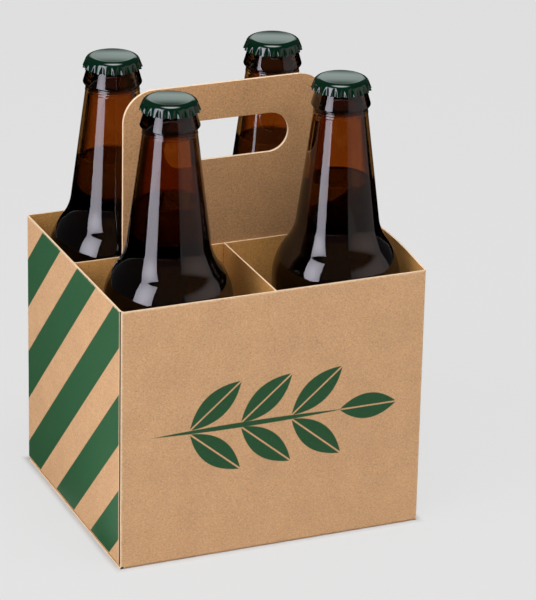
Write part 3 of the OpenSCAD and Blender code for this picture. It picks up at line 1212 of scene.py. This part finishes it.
@dataclass
class Bottle:
    """Amber bottle with its drink, crown cap and sealing disc, standing in one cell."""

    cell: str
    side_h: float = 119.2
    shoulder_r: float = 29.0
    neck_blend_r: float = 24.5
    neck_r: float = 12.6
    neck_slope: float = 7.3
    wall: float = 2.6
    base: float = 5.0
    heel_r: float = 4.0
    punt: float = 3.0
    fill_h: float = 169.8
    mouth_r: float = 8.3
    mouth_depth: float = 13.0
    collar_r: float = 14.2
    bead_r: float = 0.8
    collar_drop: float = 12.3
    throat_r: float = 12.4
    lip_h: float = 5.8
    rings: int = 3
    ring_pitch: float = 1.3
    ring_depth: float = 0.2
    rim_h: float = 0.9
    rim_w: float = 0.8
    wet_drop: float = 0.5
    into_glass: float = 0.06
    cap_flat_r: float = 10.0
    cap_round: float = 3.2
    cap_crown: float = 0.3
    cap_sheet: float = 0.3
    cap_drop: float = 0.7
    lip_back: float = 0.1
    lip_round: float = 2.5
    flutes: int = 21
    flute_r: float = 1.6
    flute_foot_r: float = 13.35
    flute_rise: float = -0.12
    flute_soft: float = 0.07
    flute_columns: int = 18
    flat_edge: float = 0.5
    liner_past: float = 0.1
    liner_edge: float = 0.07
    liner_turns: int = 48
    turns: int = 96

    def __post_init__(self) -> None:
        """Takes the bottle's axis, radius and height, and its cap's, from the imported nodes."""
        low, high = node_box(f"bottle_{self.cell}")
        self.radius = (high[0] - low[0]) / 2.0
        self.height = high[2] - low[2]
        self.foot = np.array([(low[0] + high[0]) / 2.0, (low[1] + high[1]) / 2.0, low[2]])
        low, high = node_box(f"crown_cap_{self.cell}")
        self.cap_h = high[2] - low[2] + self.cap_drop
        self.cap_foot = high[2] - self.foot[2] - self.cap_h
        self.cap_r = (high[0] - low[0]) / 2.0
        slope = math.radians(self.neck_slope)
        self.neck_out = np.array([math.cos(slope), math.sin(slope)])
        self.neck_down = np.array([math.sin(slope), -math.cos(slope)])
        self.neck_end = np.array([self.neck_r, self.height - self.collar_drop - self.bead_r])

    def side(self, inset: float) -> Array:
        """Shoulder arc, hollow neck curve and straight neck, set in by a wall.

        The hollow curve touches the shoulder's circle and the neck's straight line: its centre lies
        one radius off the line, and the two radii together away from the shoulder's centre.

        Args:
            inset: distance in from the outside.

        Returns:
            Profile points from the top of the straight side to the neck's end.
        """
        shoulder = np.array([self.radius - self.shoulder_r, self.side_h])
        reach = self.neck_end + self.neck_blend_r * self.neck_out - shoulder
        along = reach @ self.neck_down
        span = self.shoulder_r + self.neck_blend_r
        back = along + math.sqrt(along * along - reach @ reach + span * span)
        hollow = shoulder + reach - back * self.neck_down
        turn = math.degrees(math.atan2(hollow[1] - shoulder[1], hollow[0] - shoulder[0]))
        return np.concatenate([
            arc(shoulder, self.shoulder_r - inset, 0.0, turn, 28),
            arc(hollow, self.neck_blend_r + inset, turn + 180.0, self.neck_slope + 180.0, 20),
            [self.neck_end - inset * self.neck_out],
        ])

    def neck_rings(self) -> Array:
        """Faint rings below the collar: the neck's line moved out by a raised cosine of the way down.

        Returns:
            Profile points, upwards.
        """
        down = np.linspace(self.rings * self.ring_pitch, 0.0, 12 * self.rings + 1)[:, None]
        wave = self.ring_depth * (0.5 - 0.5 * np.cos(2.0 * np.pi * down / self.ring_pitch))
        return self.neck_end + down * self.neck_down + wave * self.neck_out

    def dome(self, height: float) -> Array:
        """Shallow hollow under the base: height falling with the square of the way out."""
        out = np.linspace(0.0, self.radius - self.heel_r - self.wall, 7)
        return np.stack([out, height + self.punt * (1.0 - (out / out[-1]) ** 2)], axis=1)

    def inner_profile(self) -> Array:
        """Outline of the room inside: domed floor, round heel, side, shoulder and neck.

        Returns:
            Profile points from the middle of its floor to the neck's end.
        """
        heel = (self.radius - self.heel_r - self.wall, self.base + self.heel_r)
        return without_repeats(np.concatenate([
            self.dome(self.base), arc(heel, self.heel_r, -90.0, 0.0, 8), self.side(self.wall),
        ]))

    def outer_profile(self) -> Array:
        """Outline of the outside: domed underside, heel, side, shoulder, neck, collar, lip and mouth.

        Returns:
            Profile points from the middle of the underside to the depth of the mouth.
        """
        collar = np.array([self.collar_r - self.bead_r, self.height - self.collar_drop])
        throat_z = self.height - self.lip_h
        collar_to = math.degrees(math.atan2(self.collar_r - self.throat_r, throat_z - collar[1]))
        lip = (self.cap_flat_r - self.lip_back, self.height - self.lip_round)
        mouth_round = (self.cap_flat_r - self.mouth_r) / 2.0
        return without_repeats(np.concatenate([
            self.dome(0.0),
            arc((self.radius - self.heel_r, self.heel_r), self.heel_r, -90.0, 0.0, 10),
            self.side(0.0)[:-1],
            self.neck_rings(),
            arc(collar, self.bead_r, -90.0, collar_to, 10),
            [[self.throat_r, throat_z]],
            arc(lip, self.lip_round, 0.0, 90.0, 8),
            arc((self.mouth_r + mouth_round, self.height - mouth_round), mouth_round, 90.0, 180.0, 8),
            [[self.mouth_r, self.height - self.mouth_depth]],
        ]))

    def turned_piece(self, name: str, profile: Array, material: bpy.types.Material) -> bpy.types.Object:
        """Piece of one material, turned from a profile round the bottle's axis."""
        shell = turned(profile[:, 0], profile[:, 1], self.foot, self.turns)
        return shell.piece(f"{name}_{self.cell}", [material])

    def glass(self, material: bpy.types.Material) -> bpy.types.Object:
        """Turns the outside profile and the inside profile, reversed, into one closed wall.

        Args:
            material: material of the glass.

        Returns:
            The bottle.
        """
        profile = np.concatenate([self.outer_profile(), self.inner_profile()[::-1]])
        piece = self.turned_piece("glass", profile, material)
        return install(piece, f"bottle_{self.cell}")

    def drink(self, material: bpy.types.Material) -> bpy.types.Object:
        """Fills the room inside to the level, with a rim that climbs the glass and dies away inwards.

        The level's height is the fill plus the rim's height times e to the minus distance from the
        wall over the rim's width. The side is set slightly into the glass, so no gap shows.

        Args:
            material: material of the liquid.

        Returns:
            The liquid.
        """
        inner = self.inner_profile()
        wall_r = np.interp(self.fill_h, inner[:, 1], inner[:, 0])
        wet = inner[inner[:, 1] < self.fill_h - self.wet_drop]
        gap = np.array([0.0, 0.15, 0.4, 0.8, 1.4, 2.2, 3.4, 5.0])
        level = np.stack([wall_r - gap, self.fill_h + self.rim_h * np.exp(-gap / self.rim_w)], axis=1)
        rim = np.array([[wall_r, self.fill_h]])
        profile = np.concatenate([wet, rim, level, [[0.0, self.fill_h]]])
        profile[1:len(wet) + 2, 0] += self.into_glass
        piece = self.turned_piece("liquid", profile, material)
        return install(piece, f"drink_{self.cell}")

    def cap_profile(self) -> tuple[Array, Array]:
        """Outside of the plain cap, from the middle of its crowned top to the foot of its skirt.

        The top falls with the square of the way out, and the rounded edge takes up that fall.

        Returns:
            Profile points and outward directions.
        """
        centre = np.array([self.cap_flat_r, self.cap_h - self.cap_round])
        skirt = np.array([self.cap_r, 0.0]) - centre
        top_steps, bend_steps, flare_steps = 9, 14, 12
        lean = math.acos(self.cap_round / np.linalg.norm(skirt))
        turn = math.degrees(math.atan2(skirt[1], skirt[0]) + lean)
        share = np.linspace(0.0, 1.0, top_steps + 1)[:-1]
        top = np.stack([share * self.cap_flat_r, np.full(top_steps, self.cap_h)], axis=1)
        bend = arc(centre, self.cap_round, 90.0, turn, bend_steps)
        down = np.linspace(0.0, 1.0, flare_steps + 1)[1:, None]
        flare = bend[-1] + down * (np.array([self.cap_r, 0.0]) - bend[-1])
        up = (bend[:, 1] - bend[-1, 1]) / (self.cap_h - bend[-1, 1])
        fall = np.concatenate([share ** 2, up, np.zeros(flare_steps)]) * self.cap_crown
        points = np.concatenate([top, bend, flare]) - np.stack([np.zeros(len(fall)), fall], axis=1)
        angle = np.radians(np.concatenate([
            np.full(top_steps, 90.0), np.linspace(90.0, turn, bend_steps + 1), np.full(flare_steps, turn),
        ]))
        return points, np.stack([np.cos(angle), np.sin(angle)], axis=1)

    def cap(self, material: bpy.types.Material, turn: float) -> bpy.types.Object:
        """Pressed cap: a turned profile whose skirt is bent in along evenly spaced leaning flutes.

        A flute is a round bar that leans inwards, so a level plane cuts it in an ellipse. The skirt's
        radius is a soft minimum of its plain profile and of the near root of the ellipse's equation
        in the column's direction. The inside lies one sheet in, against the outward direction.

        Args:
            material: enamel of the cap.
            turn: angle of the first flute in degrees.

        Returns:
            The cap.
        """
        columns = self.flutes * self.flute_columns
        outside, outward = self.cap_profile()
        height = outside[:, 1:]
        pitch = 2.0 * np.pi / self.flutes
        angle = np.linspace(0.0, 2.0 * np.pi, columns, endpoint=False) - math.radians(turn)
        away = (angle + pitch / 2.0) % pitch - pitch / 2.0
        squeeze = 1.0 / (1.0 + self.flute_rise ** 2)
        axis_r = self.flute_foot_r + self.flute_rise * height + self.flute_r / math.sqrt(squeeze)
        square = squeeze * np.cos(away) ** 2 + np.sin(away) ** 2
        half = squeeze * axis_r * np.cos(away)
        depth = half * half - square * (squeeze * axis_r * axis_r - self.flute_r ** 2)
        clear_r = self.cap_r + 1.0
        bent = np.where(depth > 0.0, (half - np.sqrt(np.maximum(depth, 0.0))) / square, clear_r)
        soft = self.flute_soft
        radius = -soft * np.logaddexp(-outside[:, :1] / soft, -bent / soft)
        plain = outside[:, 0] < self.cap_flat_r + self.flat_edge
        radius[plain] = outside[plain, :1]
        inside_r = np.maximum(radius - self.cap_sheet * outward[:, :1], 0.0)
        inside_z = np.maximum(outside[:, 1] - self.cap_sheet * outward[:, 1], 0.0)
        profile_r = np.concatenate([radius, inside_r[::-1]])
        profile_z = np.concatenate([outside[:, 1], inside_z[::-1]]) + self.cap_foot
        shell = turned(profile_r, profile_z, self.foot, columns)
        shell.blocks = [block[:, ::-1] for block in shell.blocks]
        piece = shell.piece(f"crown_{self.cell}", [material], sharp=50.0)
        return install(piece, f"crown_cap_{self.cell}")

    def liner(self, material: bpy.types.Material) -> bpy.types.Object:
        """Sealing disc under the cap, thinner by the cap's fall towards its rounded edge.

        Args:
            material: material of the disc.

        Returns:
            The disc.
        """
        low, high = node_box(f"cap_liner_{self.cell}")
        radius = min((high[0] - low[0]) / 2.0, self.cap_flat_r + self.liner_past)
        out = np.linspace(radius - self.liner_edge, 0.0, 9)
        crown = high[2] - low[2] - HAIR - self.cap_crown * (out / self.cap_flat_r) ** 2
        edge = crown[0] / 2.0
        rim = arc((radius - edge, edge), edge, -90.0, 90.0, 6)
        profile = np.concatenate([[[0.0, 0.0]], rim, np.stack([out, crown], axis=1)[1:]])
        foot = np.array([self.foot[0], self.foot[1], low[2]])
        shell = turned(profile[:, 0], profile[:, 1], foot, self.liner_turns)
        piece = shell.piece(f"seal_{self.cell}", [material])
        return install(piece, f"cap_liner_{self.cell}")


@dataclass(frozen=True)
class PhotoCamera:
    """Camera at the photograph's place, with its focal length in pixels."""

    place: tuple[float, float, float] = (-601.6, -1465.5, 756.7)
    azimuth: float = -23.12
    elevation: float = 22.45
    roll: float = 1.2307
    focal: float = 3518.3
    sensor: float = 36.0
    far_m: float = 50.0

    def build(self) -> bpy.types.Object:
        """Sets the scene's camera, its axes from its direction and roll, its lens from the focal length.

        Returns:
            The camera.
        """
        roll = math.radians(self.roll)
        back = direction(self.azimuth, self.elevation)
        right = Vector((0.0, 0.0, 1.0)).cross(back).normalized()
        up = back.cross(right)
        tilted_right = right * math.cos(roll) + up * math.sin(roll)
        tilted_up = up * math.cos(roll) - right * math.sin(roll)
        data = bpy.data.cameras.new("photo_camera")
        data.sensor_width = self.sensor
        data.lens = self.focal * self.sensor / IMAGE_LONG_SIDE
        data.clip_end = self.far_m
        camera = in_scene("photo_camera", data)
        turn = Matrix((tilted_right, tilted_up, back)).transposed().to_4x4()
        camera.matrix_world = Matrix.Translation(Vector(self.place) * MM) @ turn
        bpy.context.scene.camera = camera
        return camera


@dataclass(frozen=True)
class Softbox:
    """Oblong area light round the pack, not mirrored by gloss, its distance and size in metres."""

    name: str
    azimuth: float
    elevation: float
    distance: float
    width: float
    height: float
    radiance: float
    seen_through: bool = True

    def build(self, target: Vector) -> bpy.types.Object:
        """Places the light facing the target, its power being brightness times pi times its area.

        Args:
            target: point that the light faces.

        Returns:
            The light.
        """
        toward = direction(self.azimuth, self.elevation)
        data = bpy.data.lights.new(self.name, "AREA")
        data.shape = "RECTANGLE"
        data.size, data.size_y = self.width, self.height
        data.energy = self.radiance * math.pi * self.width * self.height
        light = in_scene(self.name, data)
        facing = toward.to_track_quat("Z", "Y").to_matrix().to_4x4()
        light.matrix_world = Matrix.Translation(target + toward * self.distance) @ facing
        light.visible_camera = light.visible_glossy = False
        light.visible_transmission = self.seen_through
        return light


@dataclass(frozen=True)
class ReflectionCard:
    """Sheet round the pack that only glass and gloss see: glowing as a softbox does, or black as a flag.

    Its near and its far edge are each given as a distance from the axis and a height, in metres.
    """

    name: str
    azimuths: tuple[float, float]
    near: tuple[float, float]
    far: tuple[float, float]
    radiance: float
    near_trim: float = 0.0
    side_blur: float = 0.04
    near_blur: float = 1e-4
    far_blur: float = 0.04
    hot: float = 0.0
    hot_reach: float = 0.6
    color: tuple[float, float, float] = (1.0, 1.0, 1.0)
    mirrored: bool = True
    seen_through: bool = False

    def build(self) -> bpy.types.Object:
        """Bends the card round the pack's axis and fades its glow to its sides and its far edge.

        Point of column i and row j: azimuth by an even share i across, distance and height by an even
        share j from the near to the far edge, which may be wider by a trim at each end. Both shares
        are the card's map.

        Returns:
            The card.
        """
        columns = 49
        low, high = self.azimuths
        trims = (self.near_trim, 0.0)
        azimuth = np.radians([np.linspace(low + trim, high - trim, columns) for trim in trims])
        distance, height = np.stack([self.near, self.far], axis=1)[:, :, None]
        flat = np.ones(columns)
        points = np.stack([distance * np.sin(azimuth), -distance * np.cos(azimuth), height * flat], axis=2)
        first = np.arange(columns - 1)
        faces = np.stack([first, first + 1, first + columns + 1, first + columns], axis=1)
        mesh = bpy.data.meshes.new(self.name)
        mesh.from_pydata(points.reshape(-1, 3).tolist(), [], faces.tolist())
        across = np.tile(np.linspace(0.0, 1.0, columns), 2)
        outward = np.repeat([0.0, 1.0], columns)
        card_map = np.stack([across, outward], axis=1)[faces.ravel()]
        mesh.uv_layers.new(name="card_map").data.foreach_set("uv", card_map.ravel())
        mesh.materials.append(self.material())
        card = in_scene(self.name, mesh)
        card.visible_camera = card.visible_diffuse = card.visible_shadow = False
        card.visible_volume_scatter = False
        card.visible_glossy = self.mirrored
        card.visible_transmission = self.seen_through
        return card

    def material(self) -> bpy.types.Material:
        """Glow that rises smoothly from the sides, the near and the far edge, and peaks in the middle.

        Returns:
            The finished material.
        """
        material, graph, shader = blank_material(self.name)
        graph.tree.nodes.remove(shader)
        card_map = graph.add("ShaderNodeTexCoord").outputs["UV"]
        place = graph.split(card_map)
        from_side = graph.math("MINIMUM", place["X"], graph.math("SUBTRACT", 1.0, place["X"]))
        from_far = graph.math("SUBTRACT", 1.0, place["Y"])
        middle = {0: card_map, 1: (0.5, 0.5, 0.0)}
        away = graph.add("ShaderNodeVectorMath", middle, operation="DISTANCE").outputs["Value"]
        peak = graph.smooth(away, 0.0, self.hot_reach, 1.0 + self.hot, 1.0)
        glow = graph.math("MULTIPLY", peak, self.radiance)
        edges = ((from_side, self.side_blur), (place["Y"], self.near_blur), (from_far, self.far_blur))
        for edge, blur in edges:
            glow = graph.math("MULTIPLY", glow, graph.smooth(edge, 0.0, blur))
        lit = graph.add("ShaderNodeEmission", {"Color": (*self.color, 1.0), "Strength": glow})
        graph.feed(graph.tree.nodes["Material Output"], {"Surface": lit.outputs[0]})
        return material


@dataclass
class Studio:
    """Pale floor, soft lights, reflection cards and a dim surround, laid out in metres."""

    floor_half: float = 6.0
    floor_grey: float = 0.54
    glow_grey: float = 0.785
    glow_share: float = 0.85
    contact: tuple[float, float] = (-0.0005, 0.004)
    aim: tuple[float, float, float] = (0.0, 0.0, 0.1)
    surround: float = 0.16
    surround_in_gloss: float = 0.05
    lights: tuple[Softbox, ...] = (
        Softbox("left_softbox", -74.0, 22.0, 1.25, 0.92, 1.45, 3.6, seen_through=False),
        Softbox("right_panel", 52.0, 20.0, 1.3, 1.5, 1.4, 0.78),
        Softbox("back_panel", 157.0, 24.0, 1.6, 2.2, 1.2, 0.78),
        Softbox("top_softbox", 20.0, 76.0, 1.3, 0.6, 0.45, 7.0, seen_through=False),
        Softbox("front_fill", -20.0, 38.0, 2.2, 2.4, 1.8, 0.58),
        Softbox("high_front", -12.0, 62.0, 1.6, 1.3, 0.9, 2.3, seen_through=False),
    )
    cards: tuple[ReflectionCard, ...] = (
        ReflectionCard("front_flag", (-172.0, 6.0), (0.085, 0.002), (5.0, 0.002), 0.0),
        ReflectionCard("right_flag", (92.0, 188.0), (0.085, 0.002), (5.0, 0.002), 0.0),
        ReflectionCard(
            "side_flag", (-165.0, 119.0), (0.085, 0.003), (5.0, 0.003), 0.0,
            mirrored=False, seen_through=True,
        ),
        ReflectionCard(
            "left_screen", (-89.0, -47.0), (1.0, 0.0), (1.0, 1.12), 5.6, near_trim=5.0, hot=0.7,
            color=COOL_WHITE,
        ),
        ReflectionCard(
            "left_floor_card", (-84.0, -52.0), (0.11, 0.004), (1.0, 0.004), 6.2,
            near_trim=5.0, far_blur=0.001, color=COOL_WHITE,
        ),
        ReflectionCard(
            "right_screen", (6.0, 92.0), (1.2, 0.0), (1.2, 0.95), 0.5,
            far_blur=0.3, hot=0.7, color=(1.0, 0.9, 0.89),
        ),
        ReflectionCard(
            "right_floor_card", (6.0, 92.0), (0.085, 0.002), (1.2, 0.002), 0.36, far_blur=0.001,
            color=(1.0, 0.86, 0.83),
        ),
        ReflectionCard(
            "back_screen", (133.0, 181.0), (1.7, 0.52), (1.7, 1.12), 1.5,
            side_blur=0.45, near_blur=0.4, far_blur=0.45, color=(0.86, 1.0, 0.95),
        ),
        ReflectionCard(
            "overhead", (-180.0, 180.0), (0.0, 1.6), (0.6, 1.6), 9.0, side_blur=1e-4, far_blur=0.7,
        ),
    )

    def floor(self) -> bpy.types.Object:
        """Level floor that glows as the background does, and takes all of the shadow at the pack's foot only.

        Returns:
            The floor.
        """
        half = self.floor_half
        mesh = bpy.data.meshes.new("floor")
        corners = [(-half, -half, 0.0), (half, -half, 0.0), (half, half, 0.0), (-half, half, 0.0)]
        mesh.from_pydata(corners, [], [(0, 1, 2, 3)])
        floor = in_scene("floor", mesh)
        material, graph, shader = blank_material("pale_floor")
        matt = {"Base Color": grey(self.floor_grey), "Roughness": 0.9, "Specular IOR Level": 0.0}
        graph.feed(shader, matt)
        rays = graph.add("ShaderNodeLightPath").outputs
        seen = graph.math("MAXIMUM", rays["Is Camera Ray"], rays["Is Transmission Ray"])
        seen = graph.math("MAXIMUM", seen, rays["Is Glossy Ray"])
        glow = graph.add("ShaderNodeEmission", {"Color": grey(self.glow_grey), "Strength": 1.0})
        split = graph.split(graph.point())
        half_w, half_d, _ = (float(size) * MM for size in node_box("carrier_box")[1])
        off = graph.math("MAXIMUM", graph.past(split["X"], half_w), graph.past(split["Y"], half_d))
        clear = graph.smooth(off, *self.contact)
        share = graph.math("MULTIPLY", graph.math("MULTIPLY", seen, clear), self.glow_share)
        mixed = graph.add("ShaderNodeMixShader", {0: share, 1: shader.outputs[0], 2: glow.outputs[0]})
        graph.feed(graph.tree.nodes["Material Output"], {"Surface": mixed.outputs[0]})
        mesh.materials.append(material)
        return floor

    def world(self) -> None:
        """Even grey surround, dimmer where it is mirrored."""
        world = bpy.data.worlds.new("surround")
        bpy.context.scene.world = world
        world.use_nodes = True
        graph = Graph(world.node_tree)
        background = world.node_tree.nodes["Background"]
        rays = graph.add("ShaderNodeLightPath").outputs
        drop = self.surround_in_gloss - self.surround
        strength = graph.math("MULTIPLY_ADD", rays["Is Glossy Ray"], drop, self.surround)
        graph.feed(background, {"Color": grey(1.0), "Strength": strength})

    def build(self) -> None:
        """Makes the floor, the surround, each light and each card."""
        self.floor()
        self.world()
        for light in self.lights:
            light.build(Vector(self.aim))
        for card in self.cards:
            card.build()


def main() -> None:
    """Builds the camera, the studio, the card pieces and the bottles in order."""
    logging.basicConfig(level=logging.INFO, format="%(message)s")
    bpy.context.scene.view_settings.view_transform = "Standard"
    PhotoCamera().build()
    Studio().build()
    Groups.build()
    stock = CardStock()
    CarrierBox(stock).build()
    partitions = Partitions(stock)
    partitions.divider()
    partitions.cross()
    partitions.handle()
    # The tint above the change is far darker: the thick collar's deep colour, and on the neck just below it a
    # band of painted shade.
    amber = GlassFinish(
        "amber_glass", tint=(0.43, 0.183, 0.045, 1.0), tint_above=(0.05, 0.018, 0.005, 1.0),
        change=(205.2, 206.6), ior=1.5, edge=0.12,
    ).material()
    bottles = [Bottle(cell) for cell in CELLS]
    level = bottles[0].foot[2] + bottles[0].fill_h - HAIR
    liquid = GlassFinish(
        "dark_drink", tint=(0.08, 0.05, 0.02, 1.0), tint_above=(0.22, 0.23, 0.12, 1.0),
        change=(128.0, 168.0), ior=1.34, unevenness=0.0, level=float(level),
    ).material()
    enamel = EnamelFinish(
        "green_enamel", (0.0005, 0.0125, 0.0055, 1.0), roughness=0.5, coat=1.0, specular=0.0,
    ).material()
    sealant = EnamelFinish("pale_seal", (0.75, 0.75, 0.72, 1.0), roughness=0.6, coat=0.0).material()
    for bottle, turn in zip(bottles, CAP_TURNS):
        bottle.glass(amber)
        bottle.drink(liquid)
        bottle.cap(enamel, turn)
        bottle.liner(sealant)


if __name__ == "__main__":
    main()
